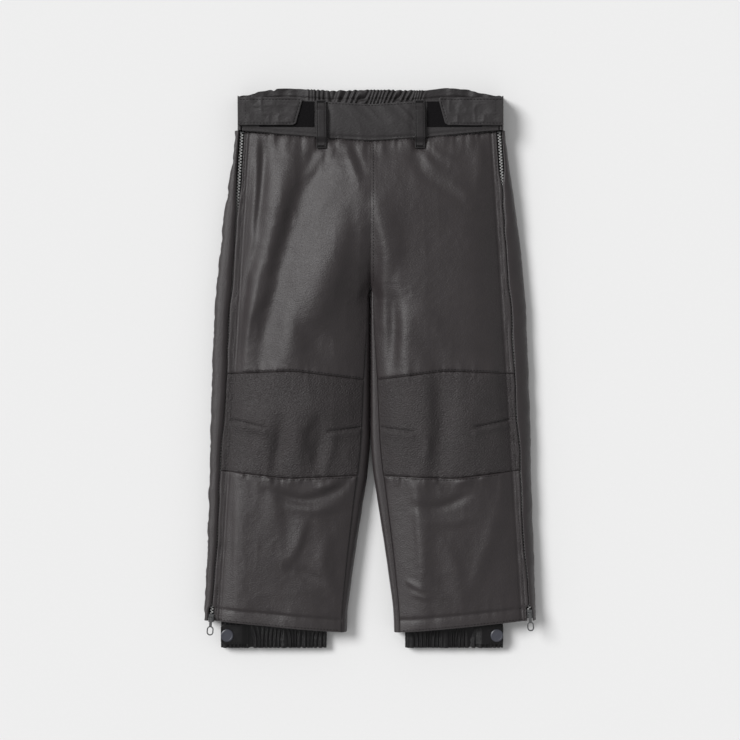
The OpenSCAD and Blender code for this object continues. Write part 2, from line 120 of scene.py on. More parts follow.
# --- Section of the garment, as in part.scad
CROTCH_Y = 100.0
CROWN_MAX = 16.0
LIP, LIP_SEAM = 9.5, 5.6
BULGE_POWER = 4.0
CENTRE_GAP = 0.05
INNER_WRAP = ([-330, -280, -220, -130, -80, -10, 50, 120], [7, 7, 9.5, 12.5, 11, 8, 4, 2.5])
CROWN_RISE = smooth_table(([-330, -280, -130, -60, 0, 100, 200, 236, 250, 285],
                           [0.4, 0.45, 0.64, 0.86, 1, 1, 0.9, 0.55, 0.29, 0.26]), 5)
CENTRE_RISE = smooth_table(([92, 100, 130, 165, 200, 270], [0, 0, 0.36, 0.66, 0.85, 1.0]), 5)


def table_at(table, v):
    return np.interp(v, *table)


def mix(a, b, t):
    return a * (1 - t) + b * t


def ease(t):
    t = np.clip(t, 0, 1)
    return t * t * (3 - 2 * t)


def zip_x(y):
    return ZIP_POINT[0] + (y - ZIP_POINT[1]) * ZIP_SLOPE


def outer_x(y):
    return table_at(OUTER, y)


def seam_x(y):
    return np.where(y > 80, 0.5, table_at(INNER, y)) + table_at(INNER_WRAP, y)


def front_in_x(y):
    return mix(CENTRE_GAP, seam_x(y), ease((CROTCH_Y + 2 - y) / 20))


# --- Smooth random fields
def lattice(seed):
    return np.random.default_rng(seed).uniform(-1, 1, (128, 128))


def noise(x, y, size, seed):
    """Smooth random field from about -1 to 1, with bumps size millimetres across."""
    table = lattice(seed)
    gx, gy = np.asarray(x) / size + 64.3, np.asarray(y) / size + 64.7
    ix, iy = np.floor(gx).astype(int), np.floor(gy).astype(int)
    fx, fy = gx - ix, gy - iy
    fx, fy = fx ** 3 * (fx * (fx * 6 - 15) + 10), fy ** 3 * (fy * (fy * 6 - 15) + 10)
    a, b = table[ix % 128, iy % 128], table[(ix + 1) % 128, iy % 128]
    c, d = table[ix % 128, (iy + 1) % 128], table[(ix + 1) % 128, (iy + 1) % 128]
    return mix(mix(a, b, fx), mix(c, d, fx), fy)


def creases(x, y, size, seed):
    """Like noise, but with narrow ridges and broad hollows."""
    return 1 - 2 * np.abs(noise(x, y, size, seed)) ** 0.8


# --- Folds of the front
# Each fold: x and y of its line's points in turn, its height, its reach toward -X and +X
FOLDS = [
    # Right thigh: the broad diagonal ridge, the valley beside it, and the ridge at the zip
    ((-90, 286, -96, 254, -107, 200, -120, 126, -132, 70, -140, 5), 5.0, 21, 15),
    ((-54, 260, -67, 234, -82, 200, -95, 160, -106, 122, -120, 66, -129, 5), -6.8, 12, 17),
    ((-38, 262, -22, 220, -17, 184, -28, 140, -54, 105), 7.5, 42, 60),
    ((-40, 150, -50, 106, -62, 76, -87, 43, -102, -4), 7.2, 24, 22),
    ((-14, 170, -20, 112), 1.8, 34, 40),
    ((-4, 226, -2, 190, -3, 152), 3.2, 24, 60),
    ((-134, 276, -135, 220, -141, 165, -146, 110), 2.6, 6, 7),
    ((-125, 278, -126, 215, -132, 160), -4.2, 6, 7),
    ((-132, 150, -144, 112, -151, 60), -2.8, 5, 6),
    ((-138, 110, -145, 70, -149, 10), 2.6, 6, 6),
    ((-128, 120, -136, 80, -142, 40), 1.8, 5, 5),
    ((-80, 66, -77, 48, -62, 30), -3.6, 13, 16),
    ((-54, 262, -62, 244, -76, 222), 2.4, 6, 6),
    ((-40, 268, -48, 246), 1.6, 4, 4),
    ((-31, 268, -24, 246, -16, 222), 2.2, 5, 5),
    ((-22, 266, -14, 248, -8, 228), -1.2, 4, 4),
    ((-24, 214, -18, 160, -26, 104), -1.8, 10, 10),
    ((-116, 100, -140, 60), 1.6, 10, 7),
    # Left thigh: the crescent by the crotch, and the drag lines under the belt loop
    ((9, 188, 17, 152, 20, 122, 15, 92, 10, 58), 6.6, 10, 17),
    ((40, 96, 45, 46, 40, 0), 5.4, 9, 36),
    ((27, 78, 27, 40, 26, 4), -3.4, 8, 8),
    ((51, 256, 60, 226, 81, 214, 112, 194), -1.5, 8, 7),
    ((60, 258, 66, 244, 76, 236), 1.1, 5, 5),
    ((72, 262, 80, 250, 96, 246), 1.2, 5, 5),
    ((98, 214, 110, 206, 116, 190), 0.9, 7, 7),
    ((126, 268, 128, 240, 126, 214), 1.3, 8, 7),
    ((120, 170, 126, 110, 132, 40), 1.6, 18, 14),
    ((70, 60, 90, 20, 96, -4), 1.2, 14, 12),
    ((54, 262, 56, 130, 58, 0), 3.0, 34, 80),
    ((62, -126, 66, -200, 64, -284), 3.6, 13, 60),
    # Knees
    ((-156, -50, -118, -58, -84, -60, -48, -50), 6.2, 28, 26),
    ((-102, -58, -106, -84, -112, -118), -4.2, 8, 9),
    ((-60, -60, -60, -84, -64, -116), -3.6, 8, 9),
    ((-142, -68, -134, -82), -2.6, 7, 7),
    ((-84, -70, -84, -116), 2.6, 12, 8),
    ((-70, -8, -72, -40), 2.8, 24, 20),
    ((-44, -82, -48, -100, -56, -120), 1.8, 6, 6),
    ((-66, -64, -72, -78, -70, -92), -2.0, 5, 6),
    ((60, -12, 64, -60, 62, -114), 5.4, 36, 17),
    ((76, -10, 78, -60, 76, -114), -2.6, 8, 9),
    ((110, -22, 112, -60, 106, -114), 4.8, 13, 48),
    ((58, -72, 66, -84, 66, -100), 1.8, 5, 5),
    ((126, -60, 136, -76), -1.6, 8, 7),
    # Shins
    ((-156, -122, -157, -190, -155, -272), 1.3, 4, 13),
    ((-114, -130, -112, -168, -104, -200), 1.8, 12, 8),
    ((-120, -142, -99, -149, -73, -154, -41, -143, -26, -132), -3.0, 6, 6),
    ((-60, -138, -40, -132), 2.4, 5, 5),
    ((-94, -160, -66, -166, -38, -158), 2.2, 7, 7),
    ((-78, -182, -86, -206, -96, -222), 3.0, 12, 6),
    ((-96, -232, -80, -238, -60, -246), -1.8, 7, 7),
    ((-50, -196, -58, -226, -46, -256), 2.0, 9, 8),
    ((53, -128, 58, -184, 62, -254), 3.0, 7, 13),
    ((54, -160, 82, -162, 114, -146), -2.4, 6, 6),
    ((70, -176, 92, -180, 116, -172), 1.2, 7, 7),
    ((100, -134, 116, -128), 1.8, 5, 5),
    ((156, -136, 142, -190, 120, -250), 1.8, 9, 11),
    ((88, -206, 102, -240, 106, -276), 1.6, 10, 9),
    ((44, -248, 60, -257), 1.8, 3, 4),
    ((50, -262, 66, -267), 1.4, 3, 4),
]


def rounded(points):
    """A line with its corners cut twice, so that a fold has no kinks."""
    pts = np.array(points, float).reshape(-1, 2)
    for _ in range(2):
        near, far = mix(pts[:-1], pts[1:], 0.25), mix(pts[:-1], pts[1:], 0.75)
        pts = np.concatenate([pts[:1], np.stack([near, far], 1).reshape(-1, 2), pts[-1:]])
    return pts


def fold_profile(x, y, line, minus, plus):
    """A fold's height from 0 to 1, falling off on both sides of its line."""
    best = np.zeros(np.shape(x))
    pts = rounded(line)
    steps = np.hypot(*np.diff(pts, axis=0).T)
    run = np.concatenate([[0], np.cumsum(steps)])
    for k in range(len(pts) - 1):
        (x0, y0), (x1, y1) = pts[k], pts[k + 1]
        dx, dy = (x1 - x0) / steps[k], (y1 - y0) / steps[k]
        t = np.clip((x - x0) * dx + (y - y0) * dy, 0, steps[k])
        px, py = x - x0 - t * dx, y - y0 - t * dy
        reach = mix(minus, plus, ease(0.5 + px / (minus + plus)))
        along = (run[k] + t) / run[-1]
        fade = np.sin(np.pi * (0.12 + 0.76 * along)) ** 0.7
        best = np.maximum(best, fade * np.exp(-(px * px + py * py) / reach ** 2))
    return best


def fold_height(x, y):
    total = np.zeros(np.shape(x))
    for line, height, minus, plus in FOLDS:
        total += height * fold_profile(x, y, line, minus, plus)
    quiet = np.where(x > 0, 0.45, 0.85)
    total += quiet * (0.9 * noise(x, y * 0.6, 38, 1) + 0.30 * creases(x, y * 0.7, 15, 2))
    total += 0.09 * noise(x, y, 6.5, 3) + 0.05 * noise(x, y, 3.2, 4)
    return total


def groove(d, depth, width):
    return -depth * np.exp(-(d / width) ** 2)


def tuck(d, depth, reach):
    """A seam whose lower side (d below 0) is pulled under the upper one."""
    return -depth * np.exp(-np.abs(d) / np.where(d < 0, reach, 1.1))


def pucker(along, d, height, size, reach, seed):
    """Small gathers beside a seam, fading away from it."""
    return height * noise(along, d * 0.25, size, seed) * np.exp(-np.abs(d) / reach)


HEM_STITCH, SEAM_STITCH, CENTRE_STITCH = 15.0, 2.2, 3.4


def seam_relief(x, y):
    """Dips and puckers along every seam of the front."""
    ax = np.abs(x)
    waist = table_at(WAIST_SEAM, ax) - y
    top, bottom = y - table_at(KNEE_TOP, ax), y - table_at(KNEE_BOTTOM, ax)
    hem = y - table_at(HEM, ax) - HEM_STITCH
    z = pucker(x, waist, 1.5, 3.6, 6, 10) + pucker(x, waist, 1.5, 8, 17, 14) + groove(waist, 2.2, 4)
    for d, seed in ((top, 11), (bottom, 12)):
        z = z + pucker(x, d, 0.9, 3.8, 4, seed) + groove(d, 1.0, 2.2)
        z = z + pucker(x, d, 0.8, 9, 11, seed + 4)
    z = z + pucker(x, bottom + 3, 1.5, 5.5, 6, 18) * ease(-bottom / 3)
    z = z + pucker(x, hem, 0.2, 4.2, 4, 13) + pucker(x, hem, 0.6, 11, 12, 17) + tuck(hem, 2.2, 4)
    low = ease((150 - y) / 60)
    centre = groove(ax, mix(0.05, 1.6, low), 2.4) + groove(ax - CENTRE_STITCH, 0.15, 0.7)
    return z + np.where(y > CROTCH_Y - 6, centre, 0)


DARTS = [(-1, "in"), (1, "in"), (-1, "out"), (1, "out")]
DART_Y = {"in": (-68.0, -72.5), "out": (-59.0, -67.5)}
DART_LENGTH = {"in": 38.0, "out": 42.0}


def dart_line(side, end):
    """The dart's two end points, from the seam inward."""
    y0, y1 = DART_Y[end]
    start = seam_x(y0) + 1 if end == "in" else zip_x(y0) - LIP
    turn = 1 if end == "in" else -1
    return (side * start, y0), (side * (start + turn * DART_LENGTH[end]), y1)


def dart_relief(x, y):
    total = np.zeros(np.shape(x))
    for side, end in DARTS:
        (x0, y0), (x1, y1) = dart_line(side, end)
        t = np.clip((x - x0) / (x1 - x0), 0, 1)
        d = y - mix(y0, y1, t)
        inside = ease((x - x0) / (x1 - x0) * 8 + 0.5) * ease((1.06 - (x - x0) / (x1 - x0)) * 9)
        total += inside * (groove(d, 2.3, 1.7) + 1.2 * np.exp(-((d + 5) / 5) ** 2))
    return total


def front_z(x, y):
    """Height of the front's outer surface."""
    ax = np.abs(x)
    xa, xb = zip_x(y) - LIP, front_in_x(y)
    t = np.clip((xa - ax) / (xa - xb), 0, 1)
    rise = np.where((t >= 0.5) & (y > CROTCH_Y), table_at(CENTRE_RISE, y), 0)
    boxy = np.where(x > 0, (t > 0.5) * ease((80 - y) / 50), (t < 0.5) * ease((-95 - y) / 30))
    power = mix(2.6, 5.0, boxy)
    crown = CROWN_MAX * table_at(CROWN_RISE, y) * (1 - (1 - rise) * np.abs(2 * t - 1) ** power)
    from_zip = ease((xa - ax - 1) / 14)
    from_inseam = mix(ease((ax - xb) / 14), 1, ease((y - CROTCH_Y + 14) / 28))
    from_waist = mix(0.2, 1, ease((table_at(WAIST_SEAM, ax) - y - 1) / 26))
    folds = fold_height(x, y) * from_zip * mix(0.15, 1, from_inseam) * from_waist
    z = ZIP_Z + crown + folds
    z = z + seam_relief(x, y) * mix(0.35, 1, from_zip) + dart_relief(x, y)
    lip_wave = 0.5 * noise(y, np.sign(x) * 3, 13, 20)
    z = z + lip_wave * np.exp(-((zip_x(y) - 5 - ax) / 7) ** 2)
    lip = zip_x(y) - ax
    foot = np.exp(-(((ax - LOOP_X) / 8) ** 4) - ((y - LOOP_FOOT_Y) / 7) ** 4)
    z = z + groove(lip - LIP_SEAM, 0.8, 0.8) + groove(lip - 9.6, 1.1, 1.3) - 1.6 * foot
    return np.minimum(z, ZIP_Z + 0.08 * np.clip(lip - 3.5, 0, None) ** 2)


# --- Mesh building
def new_object(name, verts, quads, material):
    """A smooth mesh from millimetre points, with its faces turned outward."""
    verts, quads = np.asarray(verts, float), np.asarray(quads)
    a, b, c, d = (verts[quads[:, k]] for k in range(4))
    volume = np.sum(a * np.cross(b, c)) + np.sum(a * np.cross(c, d))
    if volume < 0:
        quads = quads[:, ::-1]
    mesh = bpy.data.meshes.new(name)
    mesh.from_pydata(verts / 1000, [], quads.tolist())
    mesh.polygons.foreach_set("use_smooth", np.ones(len(mesh.polygons), bool))
    mesh.materials.append(material)
    obj = bpy.data.objects.new(name, mesh)
    bpy.context.collection.objects.link(obj)
    return obj


def grid_quads(rows, cols, wrap=False):
    i, j = np.meshgrid(np.arange(rows - 1), np.arange(cols - (not wrap)), indexing="ij")
    a = i * cols + j
    b = i * cols + (j + 1) % cols
    return np.stack([a, b, b + cols, a + cols], -1).reshape(-1, 4)


def closed_sheet(name, top, bottom, material, wrap=False):
    """A closed solid between two grids of points; with wrap, it is a tube."""
    rows, cols = top.shape[:2]
    n = rows * cols
    upper = grid_quads(rows, cols, wrap=wrap)
    first, last = np.arange(cols), n - cols + np.arange(cols)
    rims = [first, last[::-1]]
    if not wrap:
        right, left = np.arange(1, rows) * cols + cols - 1, np.arange(rows - 2, 0, -1) * cols
        rims = [np.concatenate([first, right, last[-2::-1], left])]
    quads = [upper, upper[:, ::-1] + n]
    for ring in rims:
        after = np.roll(ring, -1)
        quads.append(np.stack([after, ring, ring + n, after + n], -1))
    verts = np.concatenate([top.reshape(-1, 3), bottom.reshape(-1, 3)])
    return new_object(name, verts, np.concatenate(quads), material)


ROLL = 1.3


def edged(length, step, roll=ROLL):
    """Shares from 0 to 1, step apart, and closer at both ends for a rolled edge."""
    fine = np.array([0, 0.12, 0.4, 1.0, 1.9]) * roll / length
    count = max(2, int(length / step))
    middle = np.linspace(fine[-1] * 1.6, 1 - fine[-1] * 1.6, count)
    return np.concatenate([fine, middle, 1 - fine[::-1]])


def edge_grid(width, height, step, roll=ROLL):
    return np.meshgrid(edged(width, step, roll), edged(height, step, roll))


def roll_drop(share, length, roll=ROLL):
    """How far a rolled edge falls, by the share of the way across."""
    near = np.minimum(share, 1 - share) * length
    return roll - np.sqrt(np.clip(roll ** 2 - np.clip(roll - near, 0, None) ** 2, 0, None))


SHELL_T = 1.4
LEG_WIDTH, LEG_MID_X = 165, 80.0


def front_panel(name, side, top_seam, bottom_seam, material, step=1.7):
    """A front panel between two seams, from the zip's slit to the inseam."""
    y_top, y_bottom = table_at(top_seam, LEG_MID_X), table_at(bottom_seam, LEG_MID_X)
    width, height = LEG_WIDTH, abs(y_top - y_bottom)
    us, vs = edge_grid(width, height, step)
    y = mix(y_top, y_bottom, vs) * np.ones_like(us)
    for _ in range(3):
        x = mix(zip_x(y) - slit_half(side, y) + lip_wander(side, y), front_in_x(y), us)
        y = mix(table_at(top_seam, x), table_at(bottom_seam, x), vs)
    xs = side * x
    z = front_z(xs, y)
    inner_edge = np.where(us > 0.5, mix(0.3, 0.0, ease((y - CROTCH_Y - 4) / 12)), 1.0)
    down = np.maximum(roll_drop(us, width) * inner_edge, roll_drop(vs, height))
    top = stack(xs, y, z - down)
    bottom = stack(xs, y, z - SHELL_T - 0.25 * down)
    return closed_sheet(name, top, bottom, material)


def slit_half(side, y):
    """Half the zip's slit: wide where the slider stops, nearly closed between."""
    open_from, run = (212, 24) if side > 0 else (170, 60)
    wide = np.maximum(ease((y - open_from) / run), ease((-275 - y) / 5))
    return mix(0.45 + 0.25 * noise(y, side * 9, 21, 92), 3.3, wide)


def lip_wander(side, y):
    """How far both lips of the slit stray from the zip's straight line."""
    stray = 1.7 * noise(y, side * 5, 40, 90) + 0.5 * noise(y, side * 5, 15, 91)
    return stray * ease((238 - y) / 25) * ease((y + 285) / 25)


# --- Back panels
PANEL_TOP, PANEL_HEM = 268, -308
BAND_HALF = 150.0
BACK_WIDTH = 160
HEM_STEP = 14


def hem_slant(y, s):
    """How far a row is lifted: the hem is higher at the zip than at the inseam."""
    return HEM_STEP * (1 - s) * ease((-y - 200) / 108)


def row_y(y, s):
    """A row's place along the length, by the share of the way to the inseam."""
    lift = table_at(WAIST_SEAM, BAND_HALF * (1 - s)) - PANEL_TOP
    return y + lift * ease((y - 200) / 68) + hem_slant(y, s)


def stack(x, y, z):
    """Points from coordinates that may be of different shapes."""
    return np.stack(np.broadcast_arrays(x, y, z), -1).astype(float)


def bulge(a, b, degrees, power=BULGE_POWER):
    r = np.radians(degrees)
    c, s = np.cos(r), np.sin(r)
    return a * np.abs(c) ** (2 / power), b * np.sign(s) * np.abs(s) ** (2 / power)


def back_surface(side, y, d, start, n_wrap, n_floor, wrinkle=0.0):
    """Grid of a back layer's points, offset d inward of the outer surface."""
    y = np.asarray(y, float)[:, None]
    ya = row_y(y, 0)
    xc = zip_x(ya) + slit_half(side, ya) + lip_wander(side, ya)
    a = np.maximum(outer_x(ya) - xc - d, 0.9 - 0.1 * d)
    xs = seam_x(y)
    b = HALF_Z - d
    w = ease((CROTCH_Y + 10 - y) / 20)
    a_in = np.maximum(table_at(INNER_WRAP, y) - d, 0.9 - 0.1 * d)
    angles = np.linspace(start, -90, n_wrap + 1)[None, :]
    outer_power = BULGE_POWER
    if side > 0:
        outer_power = mix(2.3, np.where(angles > 0, 1.6, 2.4), ease((190 - ya) / 40))
    px, pz = bulge(a, b, angles, outer_power)
    wrinkle = wrinkle * (0.45 if side > 0 else 0.9)
    out = wrinkle * (1.0 * noise(ya, angles * 0.16, 13, 31 + side)
                     + 0.6 * creases(ya, angles * 0.2, 7, 33 + side))
    weight = np.clip(np.cos(np.radians(angles)) * 1.3, 0, 1)
    wrap = stack(xc + px + out * weight, ya, HALF_Z + pz)
    s = np.linspace(0, 1, n_floor + 1)[1:-1][None, :]
    floor = stack(mix(xc, xs, s), row_y(y, s), d)
    t = np.concatenate([np.linspace(0, 0.965, n_wrap - 1), [0.99, 1.0]])[None, :]
    turns = -90 + (90 + start) * t
    inner_power = 3.2 if side > 0 else np.where(turns > 0, 1.5, 2.3)
    qx, qz = bulge(a_in, b, turns, inner_power)
    ripple = wrinkle * 0.4 * noise(y, t * 10, 14, 35 + side) * np.sin(np.pi * t)
    wall_x = xs - qx + np.clip(ripple, 0, None)
    wall_z = HALF_Z + qz - (0.8 if side > 0 else 2.0) * ease((t - 0.7) / 0.3)
    flat_x = mix(xs, CENTRE_GAP, t * (90 + start) / 180)
    inner = stack(mix(flat_x, wall_x, w), row_y(y, 1), mix(d, wall_z, w))
    points = np.concatenate([wrap, floor, inner], 1)
    points[..., 0] *= side
    return points


def back_piece(name, side, y0, y1, d0, d1, start, material, step=2.4, wrinkle=1.0):
    ys = mix(y1, y0, edged(y1 - y0, step))
    n_wrap, n_floor = 20 if step < 4 else 10, int(BACK_WIDTH / step)
    faces = [back_surface(side, ys, d, start, n_wrap, n_floor, wrinkle) for d in (d0, d1)]
    return closed_sheet(name, *faces, material)


# --- Materials
def base_material(name, rough, metallic=0.0, sheen=0.0, sheen_rough=0.5, specular=0.5):
    mat = bpy.data.materials.new(name)
    mat.use_nodes = True
    tree = mat.node_tree
    shader = tree.nodes["Principled BSDF"]
    values = {"Roughness": rough, "Metallic": metallic, "Specular IOR Level": specular,
              "Sheen Weight": sheen, "Sheen Roughness": sheen_rough}
    for key, value in values.items():
        shader.inputs[key].default_value = value
    return mat, tree, shader


def add_node(tree, kind, inputs, output=0, **settings):
    """A shader node's output; each input is a value or another node's output."""
    node = tree.nodes.new("ShaderNode" + kind)
    for key, value in settings.items():
        setattr(node, key, value)
    for key, value in inputs.items():
        if isinstance(value, bpy.types.NodeSocket):
            tree.links.new(value, node.inputs[key])
        else:
            node.inputs[key].default_value = value
    return node.outputs[output]


def coordinates(tree, turn=0, stretch=1.0):
    """Object coordinates in millimetres, turned about Z, stretched along X."""
    source = add_node(tree, "TexCoord", {}, "Object")
    return add_node(tree, "Mapping", {"Vector": source, "Scale": (1000 / stretch, 1000, 1000),
                                      "Rotation": (0, 0, math.radians(turn))})


def wave(tree, vector, direction, period, distortion):
    return add_node(tree, "TexWave", {
        "Vector": vector, "Scale": math.pi / 10 / period, "Distortion": distortion,
        "Detail": 1.0, "Detail Scale": 0.6}, "Fac", bands_direction=direction)


def noise_node(tree, vector, size, detail):
    return add_node(tree, "TexNoise", {"Vector": vector, "Scale": 1 / size, "Detail": detail}, "Fac")


def math_node(tree, operation, a, b):
    return add_node(tree, "Math", {0: a, 1: b}, operation=operation)


def times_plus(tree, a, factor, b):
    """a times a factor, plus b."""
    return math_node(tree, "ADD", math_node(tree, "MULTIPLY", a, factor), b)


def paint(tree, shader, tone, colour, low, high):
    """Base colour from low to high times the colour, by the tone."""
    shades = [(*(c * share for c in colour), 1) for share in (low, high)]
    mixed = add_node(tree, "Mix", {0: tone, 6: shades[0], 7: shades[1]}, 2, data_type="RGBA")
    tree.links.new(mixed, shader.inputs["Base Color"])


def bump(tree, shader, height, distance, strength=1.0):
    normal = add_node(tree, "Bump", {"Height": height, "Strength": strength,
                                     "Distance": distance / 1000}, "Normal")
    tree.links.new(normal, shader.inputs["Normal"])


def fabric(name, colour, period, relief, rough=0.75, sheen=0.25, mottle=0.12, coarse=0.0,
           shine=0.4, grain=1.0, grain_size=2.1):
    """Woven cloth: two crossing sets of threads, a slubby grain, and uneven tone."""
    mat, tree, shader = base_material(name, rough, sheen=sheen, specular=shine)
    vector = coordinates(tree, turn=8)
    weave = math_node(tree, "MULTIPLY", wave(tree, vector, "X", period, 0.6),
                      wave(tree, vector, "Y", period, 0.6))
    twill = wave(tree, coordinates(tree, turn=45), "X", period * 2.2, 1.5)
    slub = noise_node(tree, coordinates(tree, turn=-12, stretch=1.7), grain_size, 2.0)
    height = times_plus(tree, weave, 0.6, math_node(tree, "MULTIPLY", twill, 0.25 + coarse))
    height = math_node(tree, "ADD", height, math_node(tree, "MULTIPLY", slub, 2 * grain))
    broad = noise_node(tree, vector, 26, 4.0)
    tone = times_plus(tree, broad, 0.6, math_node(tree, "MULTIPLY", slub, 0.4))
    paint(tree, shader, tone, colour, 1 - mottle, 1 + mottle)
    tree.links.new(times_plus(tree, broad, 0.12, rough - 0.06), shader.inputs["Roughness"])
    bump(tree, shader, height, relief)
    return mat


def fuzzy(name, colour, size, relief):
    """Hook or loop tape: tangled bristles."""
    mat, tree, shader = base_material(name, 0.95, sheen=0.03, sheen_rough=0.6, specular=0.1)
    tangle = noise_node(tree, coordinates(tree), size, 6.0)
    paint(tree, shader, tangle, colour, 0.5, 1.7)
    bump(tree, shader, tangle, relief)
    return mat


def solid(name, colour, rough, metallic=0.0, specular=0.5, scuff=0.15, grain=4.0, relief=0.02):
    """Moulded plastic or metal with slight scuffs and an uneven finish."""
    mat, tree, shader = base_material(name, rough, metallic, specular=specular)
    marks = noise_node(tree, coordinates(tree), grain, 5.0)
    paint(tree, shader, marks, colour, 1 - scuff, 1 + scuff)
    tree.links.new(times_plus(tree, marks, 0.2, rough - 0.1), shader.inputs["Roughness"])
    bump(tree, shader, marks, relief, 0.5)
    return mat


CHARCOAL = (0.0228, 0.0180, 0.0189)
SHELL = fabric("shell_fabric", CHARCOAL, 0.6, 0.10, rough=0.45, sheen=0.03, mottle=0.3,
               shine=0.5, grain=1.9, grain_size=1.25)
KNEE = fabric("knee_fabric", (0.0210, 0.0166, 0.0174), 1.2, 0.30, rough=0.52, sheen=0.03,
              mottle=0.55, shine=0.48, grain=2.4, grain_size=1.3)
BAND = fabric("waistband_fabric", (0.0215, 0.0190, 0.0199), 0.6, 0.10, rough=0.5, sheen=0.03,
              mottle=0.3, shine=0.36, grain=1.8)
LOOP_CLOTH = fabric("belt_loop_fabric", (0.0150, 0.0132, 0.0139), 0.6, 0.10, rough=0.5,
                    sheen=0.03, shine=0.28)
GAITER = fabric("gaiter_fabric", (0.003, 0.0026, 0.003), 0.5, 0.08, rough=0.34, sheen=0.02, shine=0.3)
LINING = fabric("lining_fabric", (0.030, 0.029, 0.031), 0.45, 0.05, rough=0.55, sheen=0.1)
FILLING = fabric("insulation_fill", (0.62, 0.62, 0.60), 2.5, 0.5, rough=0.95, sheen=0.4, coarse=0.4)
WEBBING = fabric("elastic_webbing", (0.030, 0.029, 0.030), 1.3, 0.3, rough=0.85)
TAPE = fabric("zip_tape_fabric", (0.008, 0.0075, 0.008), 0.7, 0.12, rough=0.9, sheen=0.05)
THREAD = fabric("thread", (0.006, 0.0052, 0.0055), 0.35, 0.08, rough=0.6, sheen=0.03, shine=0.18)
LOOPS = fuzzy("hook_and_loop", (0.0045, 0.004, 0.0045), 0.5, 0.5)
COIL = solid("zip_coil_plastic", (0.36, 0.36, 0.355), 0.35, metallic=0.35, specular=0.6)
METAL = solid("zip_metal", (0.16, 0.162, 0.165), 0.30, metallic=0.85)
NICKEL = solid("snap_metal", (0.55, 0.55, 0.54), 0.28, metallic=1.0)
CAP = solid("snap_cap_plastic", (0.045, 0.047, 0.06), 0.36, specular=0.5)


# --- Small building blocks
def slab(name, place, width, height, thick, material, step=1.5, roll=0.45, base=None):
    """A strip with rolled edges; place gives x, y and upper z from two shares."""
    us, vs = edge_grid(width, height, step, roll)
    x, y, z = place(us, vs)
    down = np.maximum(roll_drop(us, width, roll), roll_drop(vs, height, roll))
    under = z - thick if base is None else base
    return closed_sheet(name, stack(x, y, z - down), stack(x, y, under + 0.4 * down), material)


STITCH_LONG, STITCH_PITCH, STITCH_R = 2.4, 3.8, 0.36
SHORT_STITCH = (2.0, 2.7)


def stitch_template(radius):
    """Rings of one stitch: a capsule from -0.5 to 0.5 along its length."""
    rings = []
    for along, size in ((-0.5, 0.25), (-0.4, 0.8), (0, 1.0), (0.4, 0.8), (0.5, 0.25)):
        for a in math.pi / 3 * np.arange(6):
            rings.append((along, radius * size * math.cos(a), radius * size * math.sin(a)))
    return np.array(rings)


def repeated(name, copies, material):
    """One mesh of many small shapes, each given as its points and faces."""
    verts, quads, count = [], [], 0
    for points, face in copies:
        verts.append(points)
        quads.append(face + count)
        count += len(points)
    return new_object(name, np.concatenate(verts), np.concatenate(quads), material)


def stitches(rows, long, pitch):
    """Points and faces of each stitch along rows of points."""
    template = stitch_template(STITCH_R)
    caps = np.array([[0, 1, 2, 3], [0, 3, 4, 5], [27, 26, 25, 24], [29, 28, 27, 24]])
    face = np.concatenate([grid_quads(5, 6, True), caps[:, ::-1]])
    for row in rows:
        row = np.asarray(row, float)
        run = np.concatenate([[0], np.cumsum(np.linalg.norm(np.diff(row, axis=0), axis=1))])
        centres = np.arange(pitch / 2, run[-1] - long / 2, pitch)
        ends = [np.stack([np.interp(centres + h, run, row[:, k]) for k in range(3)], -1)
                for h in (-long / 2, long / 2)]
        for start, end in zip(*ends):
            along = end - start
            across = np.cross((0, 0, 1), along)
            across /= np.linalg.norm(across) + 1e-9
            up = np.cross(along, across)
            up /= np.linalg.norm(up) + 1e-9
            middle = (start + end) / 2 + up * 0.08
            yield (middle + template[:, :1] * along + template[:, 1:2] * across
                   + template[:, 2:] * up), face


def stitch_rows(name, rows, slot, long=STITCH_LONG, pitch=STITCH_PITCH, body="garment"):
    """A piece of thread: every stitch along the rows."""
    return finish_piece(repeated(name, stitches(rows, long, pitch), THREAD), slot, (), body)


def joined(name, objs):
    """One piece made of several meshes of the same material."""
    parts = bmesh.new()
    for obj in objs:
        parts.from_mesh(obj.data)
    mesh = bpy.data.meshes.new(name)
    parts.to_mesh(mesh)
    parts.free()
    mesh.materials.append(objs[0].data.materials[0])
    for obj in objs:
        bpy.data.objects.remove(obj)
    obj = bpy.data.objects.new(name, mesh)
    bpy.context.collection.objects.link(obj)
    return obj


def on_surface(x, y, height):
    return np.stack([x, y, height(x, y)], -1)


def row_points(x0, y0, x1, y1, height, step=1.5):
    """Points of a straight seam from one place to another, on a surface."""
    n = max(2, int(math.hypot(x1 - x0, y1 - y0) / step))
    return on_surface(np.linspace(x0, x1, n), np.linspace(y0, y1, n), height)


def finish_piece(obj, slot, nodes=(), body="garment"):
    """A piece's body, and the CAD nodes that it stands for, which are hidden. The slot argument is not
    used.
    """
    if body:
        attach(obj, body)
    if nodes:
        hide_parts(*nodes)
    return obj


def cloth_sheet(obj, narrow=None):
    """Works out a single ply's width and length, half of its surface being the area it was cut to;
    nothing is kept.
    """
    area = sum(p.area for p in obj.data.polygons) / 2
    co = np.empty(len(obj.data.vertices) * 3)
    obj.data.vertices.foreach_get("co", co)
    width, length, _ = np.ptp(co.reshape(-1, 3), axis=0)
    if narrow:
        width = narrow / 1000
        length = area / width
    length = max(length, area / width)
    return obj


# --- Legs
LAYER_SETBACK, LAYER_WIDTH = 11.0, 150
FRONT_INSULATION = (1.9, 4.6)
BACK_INSULATION = (1.7, 4.6)
LINING_D = (4.8, 5.6)
FRONT_FACING, BACK_FACING = (1.9, 2.7), (1.7, 2.5)
INNER_TOP, INNER_HEM = 266.0, -272.0
FACING_TOP, FACING_HEM = -277.0, -307.0
INNER_START = 22.5


def layer_in_x(y):
    return mix(0.7, seam_x(y) + 0.6, ease((118 - y) / 10))


